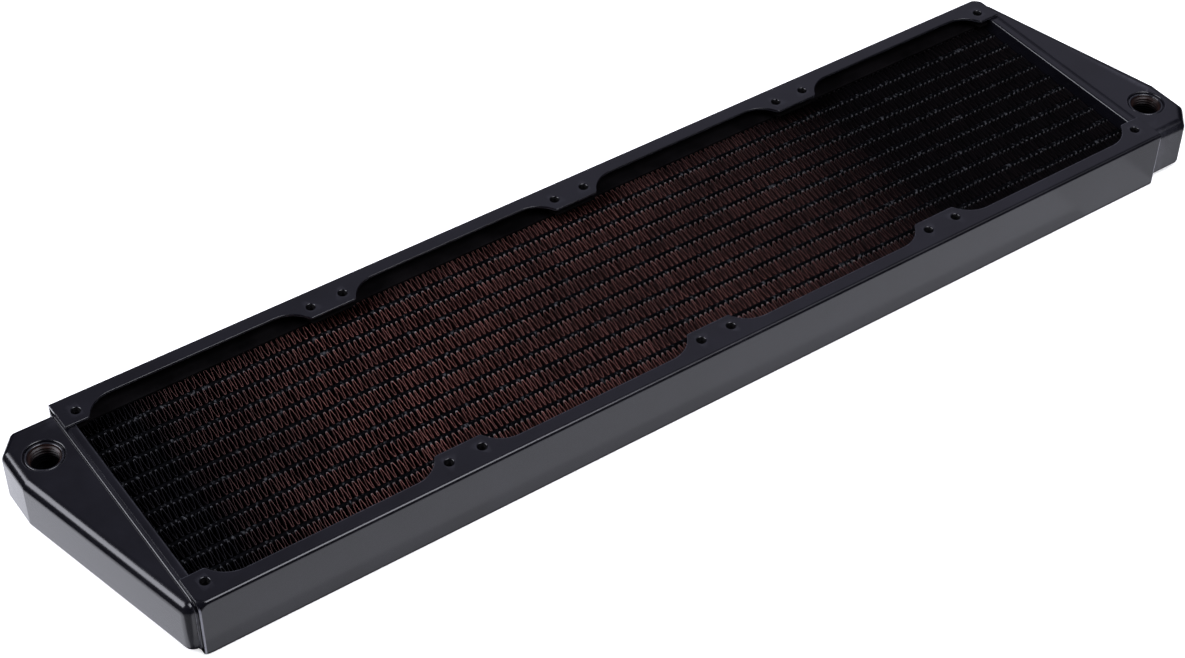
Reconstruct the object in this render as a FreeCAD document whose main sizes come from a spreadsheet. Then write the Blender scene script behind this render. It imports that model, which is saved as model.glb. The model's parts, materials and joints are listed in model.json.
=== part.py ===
# Slim liquid cooling radiator for a row of four 120 mm fans.
#
# Frame: the origin is the middle of the bottom face, +X runs along the length,
# +Y across it and +Z up through the thickness. All sizes are millimetres.
#
# Build: a core of flat tubes and corrugated fin strips lies between two channel-shaped
# side rails. Slotted header trays close the ends of the core, and each tray's rim holds
# a hollow end tank with one threaded port. The two tanks are the same piece, half a turn
# apart about the vertical axis, and so are the trays, the bushings and the rails.

import FreeCAD, Part
import math
import os
import Sketcher

Vector = FreeCAD.Vector
Rotation = FreeCAD.Rotation
Placement = FreeCAD.Placement

SIZES = {
    # overall
    "thick": 28.8,             # height over both flange faces
    "width": 124.0,            # over the outer faces of the rails
    "rail_length": 480.0,
    # fan screw grid
    "fan_pitch": 120.0,
    "screw_spacing": 105.0,
    "fan_count": 4,
    # rails
    "rail_sheet": 1.2,
    "flange_narrow": 7.2,      # flange width between the tabs
    "flange_tab": 15.5,        # flange width at a tab
    "tab_half": 10.5,          # half the length of a tab's inner edge
    "tab_sweep": 14.0,         # radius of the hollow curve beside a tab
    "tab_corner": 1.2,
    "bend_outer": 1.5,
    "bend_inner": 0.4,
    "screw_hole_dia": 2.5,
    "collar_dia": 4.6,
    "collar_depth": 1.3,
    # core
    "core_thick": 14.8,
    "tube_count": 12,
    "tube_thick": 2.0,
    "tube_wall": 0.3,
    "tube_stickout": 2.0,      # how far a tube reaches past the header into the tank
    "fin_half_length": 230.2,
    "fin_wave": 3.2,
    "fin_sheet": 0.1,
    "fin_crest": 0.7,          # flat part of a wave that is soldered to the tube
    # header trays
    "tray_sheet": 1.0,
    "tray_inner_x": 235.2,     # core side of the slotted plate
    "rim_half_width": 60.4,
    "rim_depth": 4.8,
    "tray_bend": 0.8,
    # tanks
    "tank_wall": 1.0,
    "tank_edge": 3.0,          # rounding along the top and at the narrow corner
    "tank_edge_low": 2.0,      # rounding along the bottom
    "tank_fold": 1.5,          # rounding of the other upright edges
    "tank_reach": 29.8,        # from the mouth to the end face
    "tank_flank": 21.8,        # length of the straight flank on the port side
    "tank_toe": 8.3,           # length of the flank on the narrow side
    "end_face_low": -50.0,     # the end face runs between these two places across the width
    "end_face_high": -31.0,
    # ports
    "port_x": 252.5,
    "port_y": -39.6,
    "port_seat_dia": 16.0,
    "port_recess": 0.55,
    "port_bore_dia": 11.8,
    "bushing_collar_dia": 19.0,
    "bushing_collar_thick": 1.5,
    "bushing_length": 9.0,
    "bushing_leadin": 0.6,
    # screw guards
    "guard_sheet": 0.8,
    "guard_drop": 4.0,         # depth of a guard plate under the flange face
    "guard_inset": 1.0,        # how much shorter a guard plate is than its tab
    "guard_reach": 11.4,       # from the rail's outer face to the free edge of the foot on the core
}

doc = FreeCAD.newDocument("Radiator")
sheet = doc.addObject("Spreadsheet::Sheet", "Sizes")
for row, (alias, value) in enumerate(SIZES.items(), start=1):
    sheet.set(f"A{row}", alias)
    sheet.set(f"B{row}", str(value))
    sheet.setAlias(f"B{row}", alias)
doc.recompute()


def size(alias):
    """The current value of one driving dimension."""
    return float(sheet.get(alias))


def cell(formula):
    """Write a formula of plain aliases as a formula of the sheet's cells."""
    words = formula.split()
    return " ".join(f"<<Sizes>>.{word}" if word in SIZES else word for word in words)


# The tubes and fin strips fill the space between the rails exactly.
FIN_HEIGHT = "( width - 2 * rail_sheet - tube_count * tube_thick ) / ( tube_count + 1 )"
TUBE_PITCH = f"( tube_thick + {FIN_HEIGHT} )"


# ---------------------------------------------------------------- helpers

def new_body(label):
    body = doc.addObject("PartDesign::Body", label)
    body.Label = label
    return body


def origin_plane(body, role):
    return next(item for item in body.Origin.OriginFeatures if item.Role == role)


def new_sketch(body, name, role, offset=None):
    """A sketch on one of the body's own origin planes, lifted off it by a formula."""
    sketch = body.newObject("Sketcher::SketchObject", name)
    sketch.AttachmentSupport = [(origin_plane(body, role), "")]
    sketch.MapMode = "FlatFace"
    if offset:
        sketch.setExpression("AttachmentOffset.Base.z", cell(offset))
    return sketch


def constrain(sketch, formula, *constraint):
    """Add one dimension to a sketch and bind it to a formula of the sheet."""
    index = sketch.addConstraint(Sketcher.Constraint(*constraint))
    sketch.setExpression(f"Constraints[{index}]", cell(formula))


def add_circle(sketch, x, y, diameter_formula, diameter):
    circle = sketch.addGeometry(
        Part.Circle(Vector(x, y, 0), Vector(0, 0, 1), diameter / 2), False)
    constrain(sketch, diameter_formula, "Diameter", circle, diameter)
    return circle


def add_outline(sketch, pieces):
    """Add lines and arcs that follow one another, and join their ends."""
    first = sketch.GeometryCount
    for piece in pieces:
        sketch.addGeometry(piece, False)
    count = len(pieces)
    for step in range(count):
        here = first + step
        there = first + (step + 1) % count
        end = end_of(sketch.Geometry[here], sketch.Geometry[there])
        start = end_of(sketch.Geometry[there], sketch.Geometry[here])
        sketch.addConstraint(Sketcher.Constraint("Coincident", here, end, there, start))


def end_of(curve, neighbour):
    """Which end of a curve, 1 or 2, lies on its neighbour's nearer end."""
    ends = [curve.StartPoint, curve.EndPoint]
    others = [neighbour.StartPoint, neighbour.EndPoint]
    gaps = [min(point.distanceToPoint(other) for other in others) for point in ends]
    return 1 + gaps.index(min(gaps))


def line(start, end):
    return Part.LineSegment(Vector(*start, 0), Vector(*end, 0))


def arc(start, middle, end):
    return Part.Arc(Vector(*start, 0), Vector(*middle, 0), Vector(*end, 0))


def add_rounded_rectangle(sketch, half_width, half_height, radius, low_radius=None):
    """A rectangle with round corners, centred on the sketch's origin."""
    low_radius = low_radius or radius
    radii = [radius, radius, low_radius, low_radius]
    pieces = []
    for quarter in range(4):
        turn = Rotation(Vector(0, 0, 1), 90 * quarter)
        upright = quarter % 2 == 0
        reach = half_width if upright else half_height
        half_side = half_height if upright else half_width
        corner = radii[quarter]
        bulge = corner * (1 - math.sqrt(0.5))
        run_start = turn.multVec(Vector(reach, radii[quarter - 1] - half_side, 0))
        run_end = turn.multVec(Vector(reach, half_side - corner, 0))
        round_middle = turn.multVec(Vector(reach - bulge, half_side - bulge, 0))
        round_end = turn.multVec(Vector(reach - corner, half_side, 0))
        pieces.append(Part.LineSegment(run_start, run_end))
        pieces.append(Part.Arc(run_end, round_middle, round_end))
    add_outline(sketch, pieces)


def pad(body, sketch, name, length, midplane=False, reverse=False):
    feature = body.newObject("PartDesign::Pad", name)
    feature.Profile = sketch
    feature.setExpression("Length", cell(length))
    feature.Midplane = midplane
    feature.Reversed = reverse
    return feature


def pocket(body, sketch, name, length=None, midplane=False, reverse=False):
    """Cut a sketch out of a body: by a length, or through everything when none is given."""
    doc.recompute()
    volume_before = body.Shape.Volume
    feature = body.newObject("PartDesign::Pocket", name)
    feature.Profile = sketch
    feature.Midplane = midplane
    feature.Reversed = reverse
    if length:
        feature.setExpression("Length", cell(length))
    else:
        feature.Type = "ThroughAll"
    doc.recompute()
    if body.Shape.Volume > volume_before - 0.01:
        raise RuntimeError(f"{body.Label}.{name} removes nothing")
    return feature


def box(body, kind, name, length, width, height, at):
    """An additive or subtractive box; every argument is a formula of the sheet."""
    feature = body.newObject(f"PartDesign::{kind}Box", name)
    feature.setExpression("Length", cell(length))
    feature.setExpression("Width", cell(width))
    feature.setExpression("Height", cell(height))
    feature.AttachmentSupport = [(origin_plane(body, "XY_Plane"), "")]
    feature.MapMode = "FlatFace"
    for axis, formula in zip("xyz", at):
        feature.setExpression(f"AttachmentOffset.Base.{axis}", cell(formula))
    return feature


def repeat_along(body, features, name, axis_role, spacing, count):
    """Repeat features along one of the body's axes, starting where they are."""
    doc.recompute()
    pattern = body.newObject("PartDesign::LinearPattern", name)
    pattern.Originals = features
    axis = next(item for item in body.Origin.OriginFeatures if item.Role == axis_role)
    pattern.Direction = (axis, [""])
    pattern.Mode = "Spacing"
    pattern.setExpression("Offset", cell(spacing))
    pattern.setExpression("Occurrences", cell(count))
    body.Tip = pattern
    doc.recompute()
    return pattern


def edges_where(shape, test):
    """The names of the edges whose middle point and direction pass a test."""
    names = []
    for number, edge in enumerate(shape.Edges, start=1):
        middle = edge.valueAt((edge.FirstParameter + edge.LastParameter) / 2)
        run = edge.Vertexes[-1].Point - edge.Vertexes[0].Point
        if test(middle, run):
            names.append(f"Edge{number}")
    return names


def fillet(body, name, radius, test):
    doc.recompute()
    base = body.Tip
    names = edges_where(base.Shape, test)
    feature = body.newObject("PartDesign::Fillet", name)
    feature.Base = (base, names)
    feature.setExpression("Radius", cell(radius))
    doc.recompute()
    return feature


def near(value, target):
    return abs(value - target) < 0.01


HALF_TURN = Rotation(Vector(0, 0, 1), 180)


# ---------------------------------------------------------------- side rails

def window_outline(sketch, half_length, floor, edge, radius):
    """The gap between two tabs: straight along its floor, with a hollow curve at each end."""
    depth = edge - floor
    run = math.sqrt(radius ** 2 - (radius - depth) ** 2)
    straight = half_length - run
    slope = math.atan2(run, radius - depth) / 2
    middle_x = straight + radius * math.sin(slope)
    middle_y = floor + radius * (1 - math.cos(slope))
    outside = edge + 1
    add_outline(sketch, [
        line((-straight, floor), (straight, floor)),
        arc((straight, floor), (middle_x, middle_y), (half_length, edge)),
        line((half_length, edge), (half_length, outside)),
        line((half_length, outside), (-half_length, outside)),
        line((-half_length, outside), (-half_length, edge)),
        arc((-half_length, edge), (-middle_x, middle_y), (-straight, floor)),
    ])


def first_window(sketch):
    """Move a sketch to the first of the windows, between the end tab and the next one."""
    sketch.setExpression("AttachmentOffset.Base.x",
                         cell("- ( fan_count - 1 ) / 2 * fan_pitch"))


def make_rail(label):
    """A channel, open inwards. Its own frame has the outer face at y = 0, inwards is +y."""
    body = new_body(label)
    box(body, "Additive", "Outside", "rail_length", "flange_tab", "thick",
        ("- rail_length / 2", "0 mm", "0 mm"))
    box(body, "Subtractive", "Inside", "rail_length", "flange_tab", "thick - 2 * rail_sheet",
        ("- rail_length / 2", "rail_sheet", "rail_sheet"))
    thick = size("thick")
    inner = size("rail_sheet")
    fillet(body, "InnerBends", "bend_inner",
           lambda p, run: near(p.y, inner) and abs(run.x) > 100 and inner <= p.z <= thick - inner + 0.01)
    fillet(body, "OuterBends", "bend_outer",
           lambda p, run: near(p.y, 0) and abs(run.x) > 100 and (near(p.z, 0) or near(p.z, thick)))

    windows = new_sketch(body, "Window", "XY_Plane")
    window_outline(windows, size("fan_pitch") / 2 - size("tab_half"), size("flange_narrow"),
                   size("flange_tab"), size("tab_sweep"))
    first_window(windows)
    cut = pocket(body, windows, "WindowCut", midplane=True)
    repeat_along(body, [cut], "Windows", "X_Axis", "fan_pitch", "fan_count")
    tab_edge = size("flange_tab")
    fillet(body, "TabCorners", "tab_corner",
           lambda p, run: near(p.y, tab_edge) and abs(run.z) > 1 and abs(p.x) < 239)

    add_screw_holes(body)
    return body


def add_screw_holes(body):
    """The fan screw holes, through both flanges, each with a drawn collar inside the channel."""
    inset = (size("width") - size("screw_spacing")) / 2
    last_fan = (size("fan_count") - 1) / 2 * size("fan_pitch")
    places = [-last_fan - size("screw_spacing") / 2, -last_fan + size("screw_spacing") / 2]

    def circles(name, offset, diameter):
        sketch = new_sketch(body, name, "XY_Plane", offset)
        for x in places:
            add_circle(sketch, x, inset, diameter, size(diameter))
        return sketch

    top_collars = pad(body, circles("TopCollar", "thick - rail_sheet", "collar_dia"),
                      "TopCollars", "collar_depth", reverse=True)
    bottom_collars = pad(body, circles("BottomCollar", "rail_sheet", "collar_dia"),
                         "BottomCollars", "collar_depth")
    holes = pocket(body, circles("ScrewHole", None, "screw_hole_dia"), "ScrewHoles", midplane=True)
    repeat_along(body, [top_collars, bottom_collars, holes], "FanScrews", "X_Axis",
                 "fan_pitch", "fan_count")


# ---------------------------------------------------------------- screw guards

def make_guard(label):
    """A strip whose foot lies on the core's edge and which has a plate under each tab.

    A long screw meets the plate and not a tube, and the foot closes the core's outermost fins.

    Its own frame is the rail's, moved to half height, so that it can be turned over.
    """
    body = new_body(label)
    span = "2 * tray_inner_x"
    start = "- tray_inner_x"
    box(body, "Additive", "Leg", span, "guard_sheet", "thick / 2 - guard_drop - core_thick / 2",
        (start, "rail_sheet", "core_thick / 2"))
    box(body, "Additive", "Plates", span, "flange_tab - guard_inset - rail_sheet", "guard_sheet",
        (start, "rail_sheet", "thick / 2 - guard_drop - guard_sheet"))
    windows = new_sketch(body, "Window", "XY_Plane")
    window_outline(windows, size("fan_pitch") / 2 - size("tab_half") + size("guard_inset"),
                   size("rail_sheet") + size("guard_sheet"),
                   size("flange_tab") - size("guard_inset"), size("tab_sweep"))
    first_window(windows)
    cut = pocket(body, windows, "WindowCut", midplane=True)
    repeat_along(body, [cut], "Windows", "X_Axis", "fan_pitch", "fan_count")
    box(body, "Additive", "Foot", span, "guard_reach - rail_sheet", "guard_sheet",
        (start, "rail_sheet", "core_thick / 2"))
    return body


# ---------------------------------------------------------------- header trays

def make_tray(label):
    """A slotted plate with a folded rim. Its own frame has the core side at x = 0, outwards is +x."""
    body = new_body(label)
    rail_inside = size("width") / 2 - size("rail_sheet")
    rim_height = size("thick") / 2 - size("rail_sheet")
    wall = size("tray_sheet")

    plate = new_sketch(body, "Plate", "YZ_Plane")
    add_rounded_rectangle(plate, rail_inside, rim_height, size("bend_outer"))
    pad(body, plate, "PlatePad", "tray_sheet")

    rim = new_sketch(body, "Rim", "YZ_Plane", "tray_sheet")
    add_rounded_rectangle(rim, size("rim_half_width"), rim_height,
                          size("tank_edge") + wall, size("tank_edge_low") + wall)
    pad(body, rim, "RimPad", "rim_depth")

    mouth = new_sketch(body, "Mouth", "YZ_Plane", "tray_sheet")
    add_rounded_rectangle(mouth, size("rim_half_width") - wall, rim_height - wall,
                          size("tank_edge"), size("tank_edge_low"))
    pocket(body, mouth, "MouthCut", "rim_depth", reverse=True)

    slot = new_sketch(body, "Slot", "YZ_Plane")
    add_tube_outline(slot, 0)
    slot.setExpression("AttachmentOffset.Base.x",
                       cell("- ( tube_count - 1 ) / 2 * " + TUBE_PITCH))
    cut = pocket(body, slot, "SlotCut", midplane=True)
    repeat_along(body, [cut], "Slots", "Y_Axis", TUBE_PITCH, "tube_count")

    fillet(body, "Bends", "tray_bend",
           lambda p, run: near(p.x, 0) and abs(run.y) > 50 and near(abs(p.z), rim_height))
    return body


# ---------------------------------------------------------------- core

def fin_height():
    inside = size("width") - 2 * size("rail_sheet")
    return (inside - size("tube_count") * size("tube_thick")) / (size("tube_count") + 1)


def tube_pitch():
    return size("tube_thick") + fin_height()


def add_tube_outline(sketch, shrink):
    """The flat tube's section, straight along its sides and round at its top and bottom."""
    radius = size("tube_thick") / 2 - shrink
    add_rounded_rectangle(sketch, radius, size("core_thick") / 2 - shrink, radius * 0.999)


def make_tube(label):
    """A flat tube, centred on its own frame, that reaches through both headers."""
    body = new_body(label)
    section = new_sketch(body, "Section", "YZ_Plane")
    add_tube_outline(section, 0)
    add_tube_outline(section, size("tube_wall"))
    pad(body, section, "TubePad", "2 * ( tray_inner_x + tray_sheet + tube_stickout )", midplane=True)
    return body


def fin_shape():
    """One corrugated strip: a thin sheet folded into flat-topped waves between two tubes."""
    wave = size("fin_wave")
    gauge = size("fin_sheet")
    crest = size("fin_crest")
    half = fin_height() / 2
    waves = round(2 * size("fin_half_length") / wave)
    start = -waves * wave / 2
    upper = []
    lower = []
    for step in range(2 * waves):
        side = 1 if step % 2 == 0 else -1
        middle = start + (step + 0.5) * wave / 2
        # the sheet's outer skin on a crest is a little longer than its inner skin
        outer = crest / 2 + gauge / 2
        inner = crest / 2 - gauge / 2
        upper_half = outer if side > 0 else inner
        lower_half = inner if side > 0 else outer
        upper_y = half if side > 0 else -half + gauge
        lower_y = half - gauge if side > 0 else -half
        for way in (-1, 1):
            upper.append(Vector(middle + way * upper_half, upper_y, 0))
            lower.append(Vector(middle + way * lower_half, lower_y, 0))
    outline = upper + lower[::-1]
    face = Part.Face(Part.makePolygon(outline + outline[:1]))
    thickness = size("core_thick")
    face.translate(Vector(0, 0, -thickness / 2))
    return face.extrude(Vector(0, 0, thickness))


# ---------------------------------------------------------------- end tanks

def tank_corners():
    """The tank from above: the flank beside the port, a chamfer, the end face and the long slant."""
    half = size("rim_half_width") - size("tray_sheet")
    end = size("tank_reach")
    return [
        (0, -half),
        (size("tank_flank"), -half),
        (end, size("end_face_low")),
        (end, size("end_face_high")),
        (size("tank_toe"), half),
        (0, half),
    ]


def move_sides(corners, inset, last_inset):
    """Move each side of a counter-clockwise outline inwards, the last side by its own distance."""
    sides = []
    for a, b in zip(corners, corners[1:] + corners[:1]):
        run = Vector(b[0] - a[0], b[1] - a[1], 0).normalize()
        inwards = Vector(-run.y, run.x, 0)
        distance = last_inset if b == corners[0] else inset
        sides.append((Vector(*a, 0) + inwards * distance, run))
    moved = []
    for (p, u), (q, v) in zip(sides[-1:] + sides[:-1], sides):
        along = ((q - p).cross(v)).z / (u.cross(v)).z
        corner = p + u * along
        moved.append((corner.x, corner.y))
    return moved


def tank_block(body, corners, height, edge, edge_low, fold):
    """A closed block of the tank's shape; its rounding stops at the mouth."""
    sketch = new_sketch(body, "Outline", "XY_Plane")
    add_outline(sketch, [line(a, b) for a, b in zip(corners, corners[1:] + corners[:1])])
    pad(body, sketch, "Block", height, midplane=True)
    doc.recompute()
    top = body.Shape.BoundBox.ZMax
    mouth_x = corners[0][0]
    toe_x, toe_y = corners[4]
    fillet(body, "Folds", fold,
           lambda p, run: abs(run.z) > 5 and p.x > mouth_x + 1 and not near(p.x, toe_x))
    fillet(body, "ToeCorner", edge,
           lambda p, run: abs(run.z) > 5 and near(p.x, toe_x) and near(p.y, toe_y))
    fillet(body, "TopRim", edge,
           lambda p, run: near(p.z, top) and p.x > mouth_x + 0.01)
    fillet(body, "BottomRim", edge_low,
           lambda p, run: near(p.z, -top) and p.x > mouth_x + 0.01)


def make_tank(label):
    """A hollow cup. Its own frame has the mouth at x = 0 and half height at z = 0."""
    wall = size("tank_wall")
    inside = new_body(label + "_inside")
    tank_block(inside, move_sides(tank_corners(), wall, -wall),
               "thick - 2 * rail_sheet - 2 * tray_sheet - 2 * tank_wall",
               "tank_edge - tank_wall", "tank_edge_low - tank_wall", "tank_fold - tank_wall")
    body = new_body(label)
    tank_block(body, tank_corners(), "thick - 2 * rail_sheet - 2 * tray_sheet",
               "tank_edge", "tank_edge_low", "tank_fold")
    hollow = body.newObject("PartDesign::Boolean", "Hollow")
    hollow.Type = "Cut"
    hollow.addObjects([inside])
    body.Tip = hollow
    doc.recompute()

    seat = new_sketch(body, "PortSeat", "XY_Plane")
    add_circle(seat, size("port_x") - size("tray_inner_x") - size("tray_sheet"), size("port_y"),
               "port_seat_dia", size("port_seat_dia"))
    pocket(body, seat, "PortSeatCut", "thick", reverse=True)
    return body


def make_bushing(label):
    """The port's threaded bushing. Its own frame has its upper face at z = 0."""
    body = new_body(label)
    profile = new_sketch(body, "Profile", "XZ_Plane")
    bore = size("port_bore_dia") / 2
    seat = size("port_seat_dia") / 2
    collar = size("bushing_collar_dia") / 2
    leadin = size("bushing_leadin")
    neck = size("tank_wall") - size("port_recess")
    collar_foot = neck + size("bushing_collar_thick")
    length = size("bushing_length")
    corners = [
        (bore + leadin, 0),
        (seat, 0),
        (seat, -neck),
        (collar, -neck),
        (collar, -collar_foot),
        (seat, -collar_foot),
        (seat, -length),
        (bore, -length),
        (bore, -leadin),
    ]
    add_outline(profile, [line(a, b) for a, b in zip(corners, corners[1:] + corners[:1])])
    turned = body.newObject("PartDesign::Revolution", "Turned")
    turned.Profile = profile
    axis = next(item for item in body.Origin.OriginFeatures if item.Role == "Z_Axis")
    turned.ReferenceAxis = (axis, [""])
    turned.Angle = 360
    doc.recompute()
    return body


# ---------------------------------------------------------------- assembly

parts = []


def keep(item, x, y, z, rotation=Rotation()):
    item.Placement = Placement(Vector(x, y, z), rotation)
    parts.append(item)


half_width = size("width") / 2
mid_height = size("thick") / 2

keep(make_rail("rail_front"), 0, -half_width, 0)
keep(make_rail("rail_rear"), 0, half_width, 0, HALF_TURN)

over_front = Rotation(Vector(0, 1, 0), 180)
over_rear = Rotation(Vector(1, 0, 0), 180)
keep(make_guard("screw_guard_front_top"), 0, -half_width, mid_height)
keep(make_guard("screw_guard_rear_top"), 0, half_width, mid_height, HALF_TURN)
keep(make_guard("screw_guard_front_bottom"), 0, -half_width, mid_height, over_front)
keep(make_guard("screw_guard_rear_bottom"), 0, half_width, mid_height, over_rear)

tray_x = size("tray_inner_x")
keep(make_tray("header_tray_right"), tray_x, 0, mid_height)
keep(make_tray("header_tray_left"), -tray_x, 0, mid_height, HALF_TURN)

mouth_x = tray_x + size("tray_sheet")
keep(make_tank("tank_right"), mouth_x, 0, mid_height)
keep(make_tank("tank_left"), -mouth_x, 0, mid_height, HALF_TURN)

bushing_top = size("thick") - size("rail_sheet") - size("tray_sheet") - size("port_recess")
keep(make_bushing("port_bushing_right"), size("port_x"), size("port_y"), bushing_top)
keep(make_bushing("port_bushing_left"), -size("port_x"), -size("port_y"), bushing_top, HALF_TURN)

tube_count = int(size("tube_count"))
for number in range(tube_count):
    tube_y = (number - (tube_count - 1) / 2) * tube_pitch()
    keep(make_tube(f"tube_{number + 1:02d}"), 0, tube_y, mid_height)

one_fin = fin_shape()
for number in range(tube_count + 1):
    fin = doc.addObject("Part::Feature", f"fin_strip_{number + 1:02d}")
    fin.Shape = one_fin
    keep(fin, 0, (number - tube_count / 2) * tube_pitch(), mid_height)

doc.recompute()

for item in doc.Objects:
    if "Invalid" in item.State or "Error" in item.State:
        raise RuntimeError(f"{item.Label} failed: {item.State}")
for item in parts:
    if item.Shape.isNull() or not item.Shape.isValid():
        raise RuntimeError(f"{item.Label} has no valid shape")
    if len(item.Shape.Solids) != 1:
        raise RuntimeError(f"{item.Label} has {len(item.Shape.Solids)} solids")

os.makedirs("parts", exist_ok=True)
for item in parts:
    item.Shape.exportStep(os.path.join("parts", item.Label + ".step"))
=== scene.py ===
# The looks of the slim liquid cooling radiator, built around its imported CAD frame.
#
# Lengths are written in millimetres and scaled by MM, in the CAD's own frame: +X along the
# length, +Y across and +Z up from the lower flanges. The rails, trays, tanks, bushings, tubes
# and fin strips are built again here with the rolled edges, dimples, threads, solder and louvres
# of the real ones. The screw guards are the CAD nodes themselves, with softened edges.

import json
import math
import random

import bmesh
import bpy
from mathutils import Matrix, Quaternion, Vector


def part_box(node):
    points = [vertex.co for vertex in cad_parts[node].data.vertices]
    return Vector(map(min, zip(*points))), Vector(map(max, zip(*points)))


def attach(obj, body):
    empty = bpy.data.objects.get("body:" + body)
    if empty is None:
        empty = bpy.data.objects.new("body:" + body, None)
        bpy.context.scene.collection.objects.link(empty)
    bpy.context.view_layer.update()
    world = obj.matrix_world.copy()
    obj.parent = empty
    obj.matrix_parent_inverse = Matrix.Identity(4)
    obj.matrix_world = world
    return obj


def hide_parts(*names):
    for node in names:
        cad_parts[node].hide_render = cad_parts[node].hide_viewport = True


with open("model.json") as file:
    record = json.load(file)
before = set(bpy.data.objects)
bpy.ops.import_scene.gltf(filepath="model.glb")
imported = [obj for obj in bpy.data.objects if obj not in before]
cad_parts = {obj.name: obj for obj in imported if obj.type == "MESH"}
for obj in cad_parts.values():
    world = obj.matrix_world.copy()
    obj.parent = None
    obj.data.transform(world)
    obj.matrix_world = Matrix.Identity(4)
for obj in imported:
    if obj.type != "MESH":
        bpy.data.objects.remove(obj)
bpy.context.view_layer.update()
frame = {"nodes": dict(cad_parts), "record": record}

MM = 0.001
BODY = "root"
SCENE = bpy.context.scene

# ---------------------------------------------------------------- sizes read from the frame


def extent(node):
    """A CAD node's lowest and highest corners in millimetres."""
    low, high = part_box(node)
    return low / MM, high / MM


RAIL_LOW, RAIL_HIGH = extent("rail_front")
TRAY_LOW, TRAY_HIGH = extent("header_tray_right")
TANK_LOW, TANK_HIGH = extent("tank_right")
BUSHING_LOW, BUSHING_HIGH = extent("port_bushing_right")
_, FIN_HIGH = extent("fin_strip_01")
TUBE_LOW, TUBE_HIGH = extent("tube_01")
NEXT_TUBE_LOW, _ = extent("tube_02")

THICK = RAIL_HIGH.z                      # over both flange faces
HALF_LENGTH = RAIL_HIGH.x
HALF_WIDTH = -RAIL_LOW.y
CORE_TOP = FIN_HIGH.z
TRAY_X = TRAY_LOW.x                      # core side of the slotted plate
TUBE_END = TUBE_HIGH.x
TUBE_THICK = TUBE_HIGH.y - TUBE_LOW.y
TUBE_PITCH = NEXT_TUBE_LOW.y - TUBE_LOW.y
TUBE_COUNT = sum(name.startswith("tube_") for name in frame["nodes"])
FAN_CENTRES = [mount["pos_m"][0] / MM for mount in frame["record"]["mounts"]
               if mount["name"].startswith("fan_") and mount["name"].endswith("_top")]
FAN_PITCH = FAN_CENTRES[1] - FAN_CENTRES[0]
SCREW_HALF = next(mount["dims"]["spacing_x_mm"] / 2 for mount in frame["record"]["mounts"]
                  if mount["name"] == "fan_1_top")
PORT = Vector(next(mount["pos_m"] for mount in frame["record"]["mounts"]
                   if mount["name"] == "port_right")) / MM

# sheet sizes of a rail, which the frame doesn't state, as in the CAD
SHEET = 1.2
BEND = 1.5                               # outer radius of the channel's bends
FLANGE_NARROW = 7.2                      # depth of the flange between the tabs
FLANGE_TAB = RAIL_HIGH.y - RAIL_LOW.y    # and at the tabs
TAB_HALF = 10.5                          # half a tab's straight front
TAB_SWEEP = 14.0                         # hollow and round corners beside a tab
TAB_CORNER = 1.2


# ---------------------------------------------------------------- camera

CAMERA_AZIMUTH = -35.51
CAMERA_ELEVATION = 43.57
CAMERA_ROLL = 0.931
CAMERA_DISTANCE = 979.06
CAMERA_AIM = Vector((-40.03, -22.65, THICK))
SENSOR_WIDTH = 36.0
FOCAL_LENGTH = 73.66


def make_camera():
    azimuth = math.radians(CAMERA_AZIMUTH)
    elevation = math.radians(CAMERA_ELEVATION)
    back = Vector((math.sin(azimuth) * math.cos(elevation),
                   -math.cos(azimuth) * math.cos(elevation),
                   math.sin(elevation)))
    data = bpy.data.cameras.new("camera")
    data.sensor_width = SENSOR_WIDTH
    data.lens = FOCAL_LENGTH
    data.clip_start = 0.05
    data.clip_end = 20
    camera = bpy.data.objects.new("camera", data)
    camera.rotation_mode = "QUATERNION"
    roll = Quaternion((0, 0, 1), math.radians(CAMERA_ROLL))
    camera.rotation_quaternion = back.to_track_quat("Z", "Y") @ roll
    camera.location = (CAMERA_AIM + back * CAMERA_DISTANCE) * MM
    SCENE.collection.objects.link(camera)
    SCENE.camera = camera


make_camera()


# ---------------------------------------------------------------- node helpers

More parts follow.
